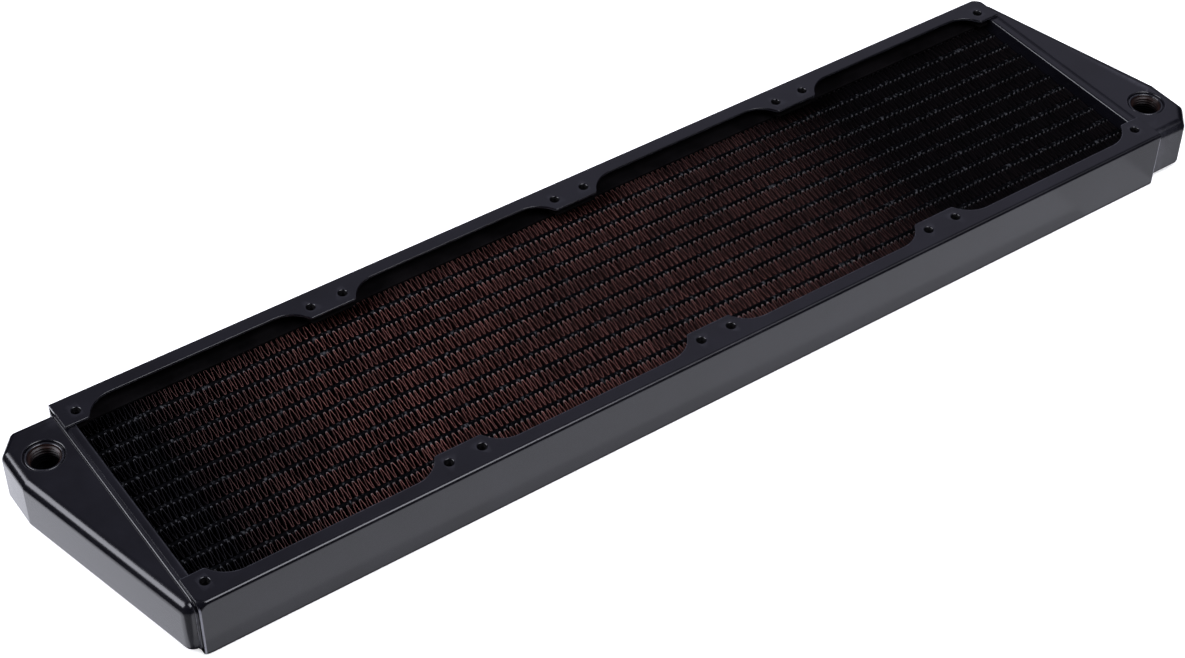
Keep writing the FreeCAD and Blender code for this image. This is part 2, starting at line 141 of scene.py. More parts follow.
class Nodes:
    """A small builder for one material's node tree."""

    def __init__(self, name):
        self.material = bpy.data.materials.new(name)
        self.material.use_nodes = True
        self.tree = self.material.node_tree
        self.tree.nodes.clear()
        self.shader = self.add("ShaderNodeBsdfPrincipled")
        output = self.add("ShaderNodeOutputMaterial")
        self.link(self.shader, "BSDF", output, "Surface")
        self.place = self.add("ShaderNodeTexCoord")

    def add(self, kind, **settings):
        node = self.tree.nodes.new(kind)
        for key, value in settings.items():
            setattr(node, key, value)
        return node

    def link(self, source, output, target, socket):
        self.tree.links.new(source.outputs[output], target.inputs[socket])

    def stretched(self, scale):
        """Object coordinates multiplied by a scale for each axis."""
        mapping = self.add("ShaderNodeMapping")
        mapping.inputs["Scale"].default_value = scale
        self.link(self.place, "Object", mapping, "Vector")
        return mapping, "Vector"

    def noise(self, scale, detail=3.0, roughness=0.5, vector=None):
        node = self.add("ShaderNodeTexNoise")
        node.inputs["Scale"].default_value = scale
        node.inputs["Detail"].default_value = detail
        node.inputs["Roughness"].default_value = roughness
        source, output = vector or (self.place, "Object")
        self.link(source, output, node, "Vector")
        return node, "Fac"

    def axis(self, name):
        """One object coordinate, in metres."""
        split = self.add("ShaderNodeSeparateXYZ")
        self.link(self.place, "Object", split, "Vector")
        return split, name

    def ranged(self, value, from_low, from_high, to_low, to_high):
        node = self.add("ShaderNodeMapRange")
        node.clamp = True
        self.link(*value, node, "Value")
        for socket, number in (("From Min", from_low), ("From Max", from_high),
                               ("To Min", to_low), ("To Max", to_high)):
            node.inputs[socket].default_value = number
        return node, "Result"

    def maths(self, operation, a, b=None):
        node = self.add("ShaderNodeMath", operation=operation)
        for index, value in enumerate((a, b)):
            if value is None:
                continue
            if isinstance(value, tuple):
                self.tree.links.new(value[0].outputs[value[1]], node.inputs[index])
            else:
                node.inputs[index].default_value = value
        return node, "Value"

    def mixed(self, factor, a, b):
        """A colour between two colours or colour outputs."""
        node = self.add("ShaderNodeMix", data_type="RGBA")
        self.tree.links.new(factor[0].outputs[factor[1]], node.inputs["Factor"])
        for socket, value in ((node.inputs[6], a), (node.inputs[7], b)):
            if isinstance(value[0], bpy.types.Node):
                self.tree.links.new(value[0].outputs[value[1]], socket)
            else:
                socket.default_value = (*value, 1)
        return node, 2

    def edges(self, low, high):
        """1 on worn convex edges, 0 elsewhere."""
        return self.ranged((self.add("ShaderNodeNewGeometry"), "Pointiness"), low, high, 0, 1)

    def bump(self, height, distance, strength=1.0, under=None):
        node = self.add("ShaderNodeBump")
        node.inputs["Strength"].default_value = strength
        node.inputs["Distance"].default_value = distance
        self.link(*height, node, "Height")
        if under:
            self.link(*under, node, "Normal")
        return node, "Normal"

    def set(self, **values):
        """Sockets of the shader, given as numbers, colours or node outputs."""
        names = {socket.name.lower(): socket.name for socket in self.shader.inputs}
        for name, value in values.items():
            socket = names[name.replace("_", " ")]
            if isinstance(value, tuple) and isinstance(value[0], bpy.types.Node):
                self.link(*value, self.shader, socket)
            elif isinstance(value, tuple):
                self.shader.inputs[socket].default_value = (*value, 1)
            else:
                self.shader.inputs[socket].default_value = value


# ---------------------------------------------------------------- materials

# colours as linear red, green and blue
PAINT = (0.0032, 0.0031, 0.0048)
PAINT_LIGHT = (0.0058, 0.0057, 0.0084)
PAINT_WORN = (0.055, 0.055, 0.066)
CUT_END_HIGHLIGHT = (0.14, 0.14, 0.16)
GUARD_SHADE_DARK = (0.0012, 0.0010, 0.0012)
GUARD_SHADE_LIGHT = (0.0040, 0.0034, 0.0038)
TUBE_DARK = (0.0012, 0.0013, 0.0018)
TUBE_BEAD = (0.022, 0.024, 0.029)
COPPER_IN_SHADE = (0.013, 0.0034, 0.0032)
COPPER_HIGHLIGHT = (0.54, 0.230, 0.200)
DEPTH_SHADE = (0.0016, 0.0015, 0.0020)
MIST_LEFT = (0.0150, 0.0138, 0.0160)
MIST_RIGHT = (0.0034, 0.0033, 0.0040)
SOLDER_AND_HIGHLIGHT = (0.34, 0.32, 0.32)
MISTED_SOLDER_AND_HIGHLIGHT = (0.095, 0.095, 0.102)
THREAD_GROOVE_SHADE = (0.0040, 0.0022, 0.0018)
THREAD_DARK = (0.012, 0.0050, 0.0040)
THREAD_LIGHT = (0.036, 0.0140, 0.0110)
HOLE_SHADE_DARK = (0.0005, 0.0005, 0.0007)
HOLE_SHADE_LIGHT = (0.0024, 0.0021, 0.0024)


def ramp_mm(n, value, start, end, low=0, high=1):
    """A ramp over a stretch of one coordinate, given in millimetres."""
    return n.ranged(value, start * MM, end * MM, low, high)


def cut_end_highlight(n):
    """1 on the cut ends of the rails' walls, where a light grey painted highlight stands for the
    light that the sheet's cut edge catches.
    """
    along = n.maths("ABSOLUTE", n.axis("X"))
    first = ramp_mm(n, along, HALF_LENGTH - 0.70, HALF_LENGTH - 0.45)
    last = ramp_mm(n, along, HALF_LENGTH + 0.05, HALF_LENGTH + 0.10, 1, 0)
    wall = ramp_mm(n, n.maths("ABSOLUTE", n.axis("Y")), HALF_WIDTH - 0.9, HALF_WIDTH - 0.7)
    below = ramp_mm(n, n.axis("Z"), THICK - 3.0, THICK - 2.0, 1, 0)
    return n.maths("MULTIPLY", n.maths("MULTIPLY", first, last), n.maths("MULTIPLY", wall, below))


def black_paint():
    """Satin black powder paint: a fine orange peel, soft blotches and slightly rubbed edges."""
    n = Nodes("satin_black_paint")
    blotch = n.noise(38, 4, 0.6)
    grain = n.noise(2600, 2, 0.5)
    peel = n.noise(420, 2, 0.45)
    rub = n.ranged(n.noise(240, 4, 0.7), 0.35, 0.75, 0.2, 1)
    worn = n.maths("MULTIPLY", n.edges(0.53, 0.60), rub)
    body = n.mixed(n.ranged(blotch, 0.35, 0.65, 0, 1), PAINT, PAINT_LIGHT)
    body = n.mixed(worn, body, PAINT_WORN)
    # the rails' cut ends take a light grey painted highlight
    n.set(base_color=n.mixed(cut_end_highlight(n), body, CUT_END_HIGHLIGHT),
          roughness=n.maths("ADD", n.ranged(blotch, 0.3, 0.7, 0.19, 0.24),
                            n.ranged(grain, 0.3, 0.7, -0.02, 0.02)),
          specular_ior_level=0.5,
          normal=n.bump(grain, 0.00001, 0.25, under=n.bump(peel, 0.00002, 0.20)))
    return n.material


def tube_paint():
    """Thin blue-black paint over the tubes, with small beads of solder showing through."""
    n = Nodes("thin_blue_black_paint")
    beads = n.noise(700, 3, 0.6, n.stretched((1.0, 0.5, 0.5)))
    blotch = n.noise(160, 3, 0.6)
    shine = n.ranged(beads, 0.58, 0.70, 0, 1)
    n.set(base_color=n.mixed(shine, TUBE_DARK, TUBE_BEAD),
          roughness=n.ranged(blotch, 0.3, 0.7, 0.55, 0.75),
          specular_ior_level=n.ranged(shine, 0, 1, 0.02, 0.5),
          normal=n.bump(beads, 0.00010, 0.8))
    return n.material


# along the length, where the bare middle of the core comes in and fades out
BARE_IN = (-213.0, -118.0)
BARE_OUT = (-110.0, 133.0)
MIST_SPAN = (-200.0, 120.0)
# within one pitch of the tubes, the far crests of a fin strip start here; their tops take a light
# colour, partly solder and partly a painted highlight
SOLDER_HIGHLIGHT_FROM = 0.93


def fin_paint():
    """Copper fins misted with black paint: bare and brown in the middle, black at both ends;
    lighter along the upper edges and darker below as painted highlight and painted shade, and light
    on the far crests' tops, partly solder and partly a painted highlight.
    """
    n = Nodes("misted_copper_fins")
    patch = n.noise(26, 4, 0.65)
    speck = n.noise(700, 4, 0.7)
    fine = n.noise(2400, 2, 0.6)
    into = ramp_mm(n, n.axis("X"), *BARE_IN)
    out = ramp_mm(n, n.axis("X"), *BARE_OUT, 1, 0.012)
    bare = n.maths("MULTIPLY", n.maths("MULTIPLY", into, out),
                   n.ranged(patch, 0.32, 0.60, 0.42, 1.12))
    bare = n.maths("MULTIPLY", bare, n.ranged(speck, 0.30, 0.62, 0.55, 1.2))
    bare = n.maths("MINIMUM", bare, 1.0)
    # painted highlight and painted shade: a thin strip along the fins' upper edges is lighter, and
    # the faces below it are darker
    painted_edge_light = ramp_mm(n, n.axis("Z"), CORE_TOP - 0.42, CORE_TOP - 0.14)
    bright = n.maths("MULTIPLY", painted_edge_light, n.ranged(fine, 0.35, 0.6, 0.4, 1))
    metal = n.mixed(bright, COPPER_IN_SHADE, COPPER_HIGHLIGHT)
    mist = n.mixed(ramp_mm(n, n.axis("X"), *MIST_SPAN), MIST_LEFT, MIST_RIGHT)
    cover = n.mixed(painted_edge_light, DEPTH_SHADE, mist)
    row = n.maths("MULTIPLY", n.maths("SUBTRACT", n.axis("Y"), TUBE_LOW.y * MM),
                  1 / (TUBE_PITCH * MM))
    # partly solder, partly a painted highlight: only the far crests' tops, on the side towards the
    # light, are made light
    solder_and_highlight = n.maths("MULTIPLY",
                    n.ranged(n.maths("FRACT", row), SOLDER_HIGHLIGHT_FROM, SOLDER_HIGHLIGHT_FROM + 0.03, 0, 1),
                    ramp_mm(n, n.axis("Z"), CORE_TOP - 1.0, CORE_TOP - 0.5))
    solder_and_highlight = n.maths("MULTIPLY", solder_and_highlight, n.ranged(speck, 0.40, 0.60, 0.25, 1))
    solder = n.mixed(bare, MISTED_SOLDER_AND_HIGHLIGHT, SOLDER_AND_HIGHLIGHT)
    n.set(base_color=n.mixed(solder_and_highlight, n.mixed(bare, cover, metal), solder),
          metallic=n.maths("MULTIPLY", n.ranged(bare, 0.2, 0.8, 0, 0.75),
                           n.ranged(solder_and_highlight, 0, 1, 1, 0.2)),
          roughness=n.ranged(speck, 0.3, 0.7, 0.30, 0.50),
          specular_ior_level=n.ranged(bare, 0, 1, 0.05, 0.5),
          normal=n.bump(speck, 0.00006, 0.5))
    return n.material


def bare_thread():
    """The bushing's cut thread: brown copper alloy, with painted shade that makes it darker in its
    grooves and black deep down in the bore.
    """
    n = Nodes("bare_copper_alloy_thread")
    turned = n.noise(900, 3, 0.6, n.stretched((0.15, 0.15, 3.0)))
    stain = n.noise(300, 4, 0.6)
    crest = n.edges(0.45, 0.56)
    metal = n.mixed(n.ranged(stain, 0.35, 0.65, 0, 1), THREAD_DARK, THREAD_LIGHT)
    # painted shade: the thread turns black deep down in the bore
    shallow = ramp_mm(n, n.axis("Z"), BUSHING_HIGH.z - 5.5, BUSHING_HIGH.z - 1.5)
    cut = n.mixed(crest, THREAD_GROOVE_SHADE, metal)
    n.set(base_color=n.mixed(shallow, DEPTH_SHADE, cut),
          roughness=n.ranged(turned, 0.3, 0.7, 0.30, 0.42),
          specular_ior_level=n.ranged(shallow, 0, 1, 0.0, 0.30),
          normal=n.bump(turned, 0.00002, 0.4))
    return n.material


def painted_shade_hole():
    """Painted shade: a near-black colour on the thread and the cone of a screw hole, standing in
    for the shade down in it.
    """
    n = Nodes("hole_painted_shade")
    mottle = n.noise(1500, 3, 0.6)
    n.set(base_color=n.mixed(n.ranged(mottle, 0.35, 0.7, 0, 1), HOLE_SHADE_DARK, HOLE_SHADE_LIGHT),
          roughness=n.ranged(mottle, 0.3, 0.7, 0.45, 0.65),
          specular_ior_level=0.04,
          normal=n.bump(mottle, 0.00002, 0.4))
    return n.material


def guard_shade_paint():
    """Painted shade: a darker, duller black than the rest of the paint, on the guard strips, which
    lie in the shade of the flanges.
    """
    n = Nodes("dull_black_painted_shade")
    blotch = n.noise(60, 4, 0.6)
    grain = n.noise(1800, 2, 0.5)
    n.set(base_color=n.mixed(n.ranged(blotch, 0.35, 0.65, 0, 1), GUARD_SHADE_DARK, GUARD_SHADE_LIGHT),
          roughness=n.ranged(blotch, 0.3, 0.7, 0.42, 0.55),
          specular_ior_level=0.10,
          normal=n.bump(grain, 0.00001, 0.3))
    return n.material


PAINTED = black_paint()
TUBE_PAINT = tube_paint()
GUARD_SHADE_PAINT = guard_shade_paint()
FIN_PAINT = fin_paint()
THREAD = bare_thread()
HOLE_SHADE_PAINT = painted_shade_hole()


# ---------------------------------------------------------------- mesh helpers

def arc(centre, radius, start, end, steps):
    """Points of a flat arc; the angles are in degrees."""
    points = []
    for step in range(steps + 1):
        angle = math.radians(start + (end - start) * step / steps)
        points.append((centre[0] + radius * math.cos(angle), centre[1] + radius * math.sin(angle)))
    return points


SHARP_ANGLE = 35                # degrees from which an edge isn't shaded smooth


def piece(name, vertices, faces, materials, node, face_materials=(),
          sharp=SHARP_ANGLE):
    """A mesh in millimetres as a smooth piece that stands for a CAD node."""
    mesh = bpy.data.meshes.new(name)
    mesh.from_pydata([tuple(c * MM for c in v) for v in vertices], [], faces)
    for material in materials:
        mesh.materials.append(material)
    for polygon, index in zip(mesh.polygons, face_materials):
        polygon.material_index = index
    obj = bpy.data.objects.new(name, mesh)
    SCENE.collection.objects.link(obj)
    if sharp:
        tidy_normals(mesh, sharp)
    else:
        mesh.shade_smooth()
    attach(obj, BODY)
    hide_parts(node)
    return obj


def tidy_normals(mesh, sharp):
    """Outward faces, smooth but for edges sharper than an angle in degrees."""
    work = bmesh.new()
    work.from_mesh(mesh)
    bmesh.ops.remove_doubles(work, verts=work.verts, dist=1e-6)
    bmesh.ops.dissolve_degenerate(work, dist=1e-7, edges=work.edges)
    bmesh.ops.recalc_face_normals(work, faces=work.faces)
    for face in work.faces:
        face.smooth = True
    limit = math.radians(sharp)
    for edge in work.edges:
        edge.smooth = len(edge.link_faces) == 2 and edge.calc_face_angle(0) < limit
    work.to_mesh(mesh)
    work.free()


def loft(rings, capped=True):
    """Faces between closed rings of equal length. Returns all vertices and faces."""
    count = len(rings[0])
    vertices = [vertex for ring in rings for vertex in ring]
    faces = []
    for level in range(len(rings) - 1):
        base = level * count
        for step in range(count):
            after = (step + 1) % count
            faces.append((base + step, base + after, base + count + after, base + count + step))
    if capped:
        faces.append(tuple(range(count - 1, -1, -1)))
        faces.append(tuple(range(len(vertices) - count, len(vertices))))
    return vertices, faces


def swung(profile, centre, angle):
    """A profile of (radius, height) pairs, set upright about a centre at one angle."""
    return [(centre[0] + r * math.cos(angle), centre[1] + r * math.sin(angle), z)
            for r, z in profile]


def turned(profile, centre, steps):
    """A closed profile of (radius, height) pairs turned about an upright axis."""
    rings = [swung(profile, centre, math.tau * step / steps) for step in range(steps)]
    rings.append(rings[0])
    return loft(rings, capped=False)


def cut_wells(obj, wells, steps):
    """Cut upright round wells, each (x, y, radius, lowest z, highest z), out of a mesh."""
    cutter = bpy.data.meshes.new("wells")
    work = bmesh.new()
    for x, y, radius, low, high in wells:
        middle = Matrix.Translation(Vector((x, y, (low + high) / 2)) * MM)
        bmesh.ops.create_cone(work, cap_ends=True, segments=steps, radius1=radius * MM,
                              radius2=radius * MM, depth=(high - low) * MM, matrix=middle)
    work.to_mesh(cutter)
    work.free()
    tool = bpy.data.objects.new("wells", cutter)
    SCENE.collection.objects.link(tool)
    boolean = obj.modifiers.new("wells", "BOOLEAN")
    boolean.object = tool
    boolean.operation = "DIFFERENCE"
    boolean.solver = "EXACT"
    bpy.context.view_layer.update()
    finished = obj.evaluated_get(bpy.context.evaluated_depsgraph_get())
    result = bpy.data.meshes.new_from_object(finished)
    obj.modifiers.clear()
    obj.data = result
    bpy.data.objects.remove(tool)


def add_turned(obj, vertices, faces, centre, inner_radius):
    """Join a turned part to a piece; its faces within a radius take the piece's second material."""
    extra = bpy.data.meshes.new("extra")
    extra.from_pydata([tuple(c * MM for c in v) for v in vertices], [], faces)
    tidy_normals(extra, SHARP_ANGLE)
    for polygon in extra.polygons:
        offset = Vector(polygon.center).xy / MM - Vector(centre)
        polygon.material_index = 1 if offset.length < inner_radius else 0
    work = bmesh.new()
    work.from_mesh(obj.data)
    work.from_mesh(extra)
    work.to_mesh(obj.data)
    work.free()
    bpy.data.meshes.remove(extra)


def half_turn(vertices):
    return [(-x, -y, z) for x, y, z in vertices]


# ---------------------------------------------------------------- side rails

HOLE_RADIUS = 1.25
DIMPLE_RADIUS = 2.35
DIMPLE_LIP = 0.55               # rounding of the dimple's rim
DIMPLE_STEPS = 48
SCREW_PITCH = 0.25
SCREW_GROOVE = 0.2
EDGE_ROLL = 0.32                # rounding of a flange's free edge
INNER_FOLD = 0.4                # rounding inside the channel's bends
END_ROLL = 0.3                  # rounding of the sheet's skin at a rail's ends
END_CORNER = 3.6                # how far the round corner at a rail's first end reaches
LOW_CORNER = 0.3                # the lower bend's share of it
BESIDE = 0.3                    # a flat stretch beside each bend, so that it shades flat


def half_window():
    """The flange's inner edge from a window's middle to the next tab's middle, as (x, depth)."""
    rise = FLANGE_TAB - FLANGE_NARROW
    half = FAN_PITCH / 2 - TAB_HALF
    straight = half - math.sqrt(TAB_SWEEP ** 2 - (TAB_SWEEP - rise) ** 2)
    drop = TAB_SWEEP - rise + TAB_CORNER
    gap = TAB_SWEEP + TAB_CORNER
    corner_x = straight + math.sqrt(gap ** 2 - drop ** 2)
    lean = math.degrees(math.asin(drop / gap))
    sweep = arc((straight, FLANGE_NARROW + TAB_SWEEP), TAB_SWEEP, -90, -lean, 16)
    corner = arc((corner_x, FLANGE_TAB - TAB_CORNER), TAB_CORNER, 180 - lean, 90, 6)
    return [(0, FLANGE_NARROW)] + sweep + corner[1:] + [(FAN_PITCH / 2, FLANGE_TAB)]


def end_corner(x):
    """How much wider the bends get towards a rail's first end, whose corner is trimmed round."""
    into = max(0.0, -x - (HALF_LENGTH - END_CORNER))
    return END_CORNER * (into / END_CORNER) ** 1.7


def rail_stations():
    """(x, flange depth, inset of the outer skin) along a rail; the ends are rolled in a little."""
    half = half_window()
    path = [(-x, depth) for x, depth in reversed(half)] + half[1:]
    stations = []
    for centre in FAN_CENTRES:
        for x, depth in path:
            if not stations or centre + x > stations[-1][0] + 0.01:
                stations.append((centre + x, depth, 0.0))
    roll = [(HALF_LENGTH - END_ROLL * (1 - math.cos(a)), END_ROLL * (1 - math.sin(a)))
            for a in (math.radians(step * 15) for step in range(7))]
    roll += [(HALF_LENGTH - END_CORNER * back, 0.0)
             for back in (0.15, 0.25, 0.4, 0.55, 0.7, 0.85, 1.0)]
    inner = [s for s in stations if abs(s[0]) < HALF_LENGTH - END_CORNER - END_ROLL]
    right = [(x, FLANGE_TAB, inset) for x, inset in reversed(roll)]
    left = [(-x, depth, inset) for x, depth, inset in reversed(right)]
    return left + inner + right


def rail_section(depth, inset, corner):
    """The channel's section as (y, z), outer skin first; y = 0 is the outer face."""
    top = THICK - inset
    low = inset
    reach = BEND + corner
    low_reach = BEND + LOW_CORNER * corner
    bend = reach - inset
    low_bend = low_reach - inset
    fold = INNER_FOLD + corner
    tip = depth - EDGE_ROLL
    outer = [(tip, top), (tip - BESIDE, top), (reach + BESIDE, top)]
    outer += arc((reach, top - bend), bend, 90, 180, 9)
    outer += [(inset, top - bend - BESIDE), (inset, low + low_bend + BESIDE)]
    outer += arc((low_reach, low + low_bend), low_bend, 180, 270, 9)
    outer += [(low_reach + BESIDE, low), (tip - BESIDE, low)]
    low_edge = arc((tip, low + EDGE_ROLL), EDGE_ROLL, -90, 0, 3)
    low_edge += arc((tip, SHEET - EDGE_ROLL), EDGE_ROLL, 0, 90, 3)
    inner = [(SHEET + fold + BESIDE, SHEET)]
    inner += arc((SHEET + fold, SHEET + fold), fold, 270, 180, 3)
    inner += arc((SHEET + fold, THICK - SHEET - fold), fold, 180, 90, 3)
    inner += [(SHEET + fold + BESIDE, THICK - SHEET)]
    top_edge = arc((tip, THICK - SHEET + EDGE_ROLL), EDGE_ROLL, -90, 0, 3)
    top_edge += arc((tip, top - EDGE_ROLL), EDGE_ROLL, 0, 90, 3)[:-1]
    return outer + low_edge + inner + top_edge


def screw_dimple(x, y, face, up):
    """The formed collar of one screw hole; up is 1 in the top flange and -1 in the bottom one."""
    lip = arc((DIMPLE_RADIUS, -DIMPLE_LIP), DIMPLE_LIP, 90, 150, 5)
    cone = [(1.62, -0.62), (1.42, -0.78), (HOLE_RADIUS, -1.0)]
    thread = []
    depth = -1.1
    while depth > -2.3:
        thread += [(HOLE_RADIUS, depth), (HOLE_RADIUS + SCREW_GROOVE, depth - SCREW_PITCH / 2)]
        depth -= SCREW_PITCH
    outside = [(HOLE_RADIUS, -2.5), (2.1, -2.5), (DIMPLE_RADIUS, -2.2), (DIMPLE_RADIUS, -0.05)]
    profile = [(r, face + up * z) for r, z in lip + cone + thread + outside]
    return turned(profile, (x, y), DIMPLE_STEPS)


def make_rail(name, turn_over):
    """A sheet channel with tabs, dimpled screw holes and one round corner."""
    inset = HALF_WIDTH - SCREW_HALF
    # a screw hole's faces within this radius take the painted shade
    hole_shade_zone = DIMPLE_RADIUS - 0.6
    rings = []
    for x, depth, roll in rail_stations():
        section = rail_section(depth, roll, end_corner(x))
        rings.append([(x, y - HALF_WIDTH, z) for y, z in section])
    vertices, faces = loft(rings)
    holes = [(centre + side * SCREW_HALF, inset - HALF_WIDTH)
             for centre in FAN_CENTRES for side in (-1, 1)]
    if turn_over:
        vertices = half_turn(vertices)
        holes = [(-x, -y) for x, y in holes]
    rail = piece(name + "_formed", vertices, faces, [PAINTED, HOLE_SHADE_PAINT], name)
    wells = [(x, y, DIMPLE_RADIUS, THICK - 2, THICK + 1) for x, y in holes]
    wells += [(x, y, DIMPLE_RADIUS, -1, 2) for x, y in holes]
    cut_wells(rail, wells, DIMPLE_STEPS)
    for x, y in holes:
        add_turned(rail, *screw_dimple(x, y, THICK, 1), (x, y), hole_shade_zone)
        add_turned(rail, *screw_dimple(x, y, 0, -1), (x, y), hole_shade_zone)


make_rail("rail_front", False)
make_rail("rail_rear", True)


# ---------------------------------------------------------------- screw guards

for name, node in frame["nodes"].items():
    if name.startswith("screw_guard"):
        # painted shade: the guards take a darker, duller black than the rest of the paint
        node.data.materials.clear()
        node.data.materials.append(GUARD_SHADE_PAINT)
        soft = node.modifiers.new("sheet_edges", "BEVEL")
        soft.width = 0.2 * MM
        soft.segments = 2
        soft.limit_method = "ANGLE"
        soft.angle_limit = math.radians(60)


# ---------------------------------------------------------------- header trays

TRAY_WALL = 1.0
TRAY_BEND = 1.0                 # outer radius of the fold between plate and rim
RIM_ROLL = 0.98                 # rounding of the rim's mouth
RIM_BURR = 0.02                 # and how far its inner edge stays back from it
SEAM_BACK = 1.7                 # from the mouth to the seam
# across the seam: along the rim and down into it
SEAM_GROOVE = ((-0.8, 0), (-0.6, 0.04), (-0.06, 0.27), (0.06, 0.27), (0.6, 0.04), (0.7, 0))
TANK_EDGE = 4.3                 # rounding of the tank along its top
TANK_EDGE_LOW = 2.0             # and along its bottom
RIM_HALF_WIDTH = TANK_HIGH.y + TRAY_WALL


def rim_ring(x, inset):
    """The tray's rounded rectangle at one place along the length, moved in by an inset."""
    high_radius = TANK_EDGE + TRAY_WALL - inset
    low_radius = TANK_EDGE_LOW + TRAY_WALL - inset
    side = RIM_HALF_WIDTH - inset
    top = TRAY_HIGH.z - inset
    low = TRAY_LOW.z + inset
    section = arc((side - high_radius, top - high_radius), high_radius, 0, 90, 8)
    section += arc((high_radius - side, top - high_radius), high_radius, 90, 180, 8)
    section += arc((low_radius - side, low + low_radius), low_radius, 180, 270, 8)
    section += arc((side - low_radius, low + low_radius), low_radius, 270, 360, 8)
    return [(x, y, z) for y, z in section]


def make_tray(side_name, turn_over):
    """A pan pressed from sheet: the slotted plate faces the core and its rim holds the tank."""
    mouth = TRAY_HIGH.x
    seam = mouth - SEAM_BACK
    back = TRAY_X + TRAY_WALL
    profile = [(TRAY_X, TRAY_BEND + 0.4)]
    profile += arc((TRAY_X + TRAY_BEND, TRAY_BEND), TRAY_BEND, 180, 270, 7)
    profile.append((TRAY_X + TRAY_BEND + 0.3, 0))
    profile += [(seam + along, down) for along, down in SEAM_GROOVE]
    profile += arc((mouth - RIM_ROLL, RIM_ROLL), RIM_ROLL, 270, 360, 7)
    profile.append((mouth - RIM_BURR, TRAY_WALL - 0.04))
    profile += [(back + 0.3, TRAY_WALL), (back, TRAY_WALL + 0.3)]
    vertices, faces = loft([rim_ring(x, inset) for x, inset in profile])
    if turn_over:
        vertices = half_turn(vertices)
    node = f"header_tray_{side_name}"
    piece(node + "_folded", vertices, faces, [PAINTED], node)


make_tray("right", False)
make_tray("left", True)


# ---------------------------------------------------------------- end tanks

TANK_FOLD = 3.2                 # rounding of the upright edges
TANK_TOE = 8.3                  # length of the narrow side's flank
TANK_FLANK = 21.8               # and of the port side's
END_FACE_LOW = -50.0            # the end face runs between these two places across the width
END_FACE_HIGH = -31.0
SEAT_ROLL = 0.7                 # rounding of the sunk seat's rim
SEAT_ROLL_RADIUS = 8.7
SEAT_STEPS = 96


def tank_outline(inset):
    """The right tank from above, each side but the mouth's moved in by an inset."""
    mouth = TANK_LOW.x
    half = TANK_HIGH.y
    corners = [Vector(c) for c in ((mouth, -half), (mouth + TANK_FLANK, -half),
                                   (TANK_HIGH.x, END_FACE_LOW), (TANK_HIGH.x, END_FACE_HIGH),
                                   (mouth + TANK_TOE, half), (mouth, half))]
    folds = [0, TANK_FOLD, TANK_FOLD, TANK_FOLD, TANK_EDGE, 0]
    count = len(corners)
    outline = []
    for index in range(count):
        here = corners[index]
        before = (here - corners[index - 1]).normalized()
        after = (corners[(index + 1) % count] - here).normalized()
        moves = []
        for run, side in ((before, index - 1), (after, index)):
            distance = 0 if side % count == count - 1 else inset
            moves.append(Vector((-run.y, run.x)) * distance)
        cross = before.x * after.y - before.y * after.x
        gap = moves[1] - moves[0]
        along = (gap.x * after.y - gap.y * after.x) / cross
        point = here + moves[0] + before * along
        if not folds[index]:
            outline.append(point)
            continue
        radius = max(folds[index] - inset, 0.05)
        turn = math.acos(max(-1, min(1, before.dot(after))))
        touch = point - before * (radius * math.tan(turn / 2))
        centre = touch + Vector((-before.y, before.x)) * radius
        spoke = touch - centre
        start = math.degrees(math.atan2(spoke.y, spoke.x))
        outline += [Vector(c) for c in arc(centre, radius, start, start + math.degrees(turn), 8)]
    return outline


def tank_rings():
    """The tank's outline at each level, rounded in towards its bottom and its top."""
    top = TANK_HIGH.z
    low = TANK_LOW.z
    levels = [(TANK_EDGE_LOW + 0.4, low)]
    levels += [(TANK_EDGE_LOW * (1 - math.sin(a)), low + TANK_EDGE_LOW * (1 - math.cos(a)))
               for a in (math.radians(step * 11.25) for step in range(9))]
    levels += [(0, low + TANK_EDGE_LOW + 0.3), (0, top - TANK_EDGE - 0.3)]
    levels += [(TANK_EDGE * (1 - math.cos(a)), top - TANK_EDGE * (1 - math.sin(a)))
               for a in (math.radians(step * 7.5) for step in range(13))]
    levels.append((TANK_EDGE + 0.4, top))
    return [[(p.x, p.y, z) for p in tank_outline(inset)] for inset, z in levels]


def make_tank(side_name, turn_over):
    """A drawn tank with a slanted side, a chamfered corner and a round well for the port."""
    vertices, faces = loft(tank_rings())
    port = (PORT.x, PORT.y)
    if turn_over:
        vertices = half_turn(vertices)
        port = (-PORT.x, -PORT.y)
    node = f"tank_{side_name}"
    tank = piece(node + "_shell", vertices, faces, [PAINTED], node)
    cut_wells(tank, [(*port, SEAT_ROLL_RADIUS, TANK_LOW.z + 1.5, TANK_HIGH.z + 1)], SEAT_STEPS)


make_tank("right", False)
make_tank("left", True)


# ---------------------------------------------------------------- port bushings

THREAD_PITCH = 25.4 / 19        # G1/4: nineteen turns to the inch
THREAD_MAJOR = 6.58
THREAD_MINOR = 5.72
THREAD_STEPS = 84               # down the thread
LEAD_IN = 0.6                   # depth of the bevel over the thread
BUSHING_RADIUS = 8.0
GROOVE_RADIUS = 7.75            # a narrow groove parts the bushing's face from the seat


def thread_profile(turn):
    """The thread's (radius, height) pairs from top to bottom, at a share of a full turn."""
    start = BUSHING_HIGH.z - LEAD_IN
    depth = start - BUSHING_LOW.z
    profile = []
    for level in range(THREAD_STEPS + 1):
        z = start - depth * level / THREAD_STEPS
        phase = (z / THREAD_PITCH + turn) % 1
        ridge = min(1.0, max(0.0, 1.25 * (1 - abs(2 * phase - 1)) - 0.12))
        fade = min(1.0, level / 8)
        profile.append((THREAD_MAJOR - fade * ridge * (THREAD_MAJOR - THREAD_MINOR), z))
    return profile


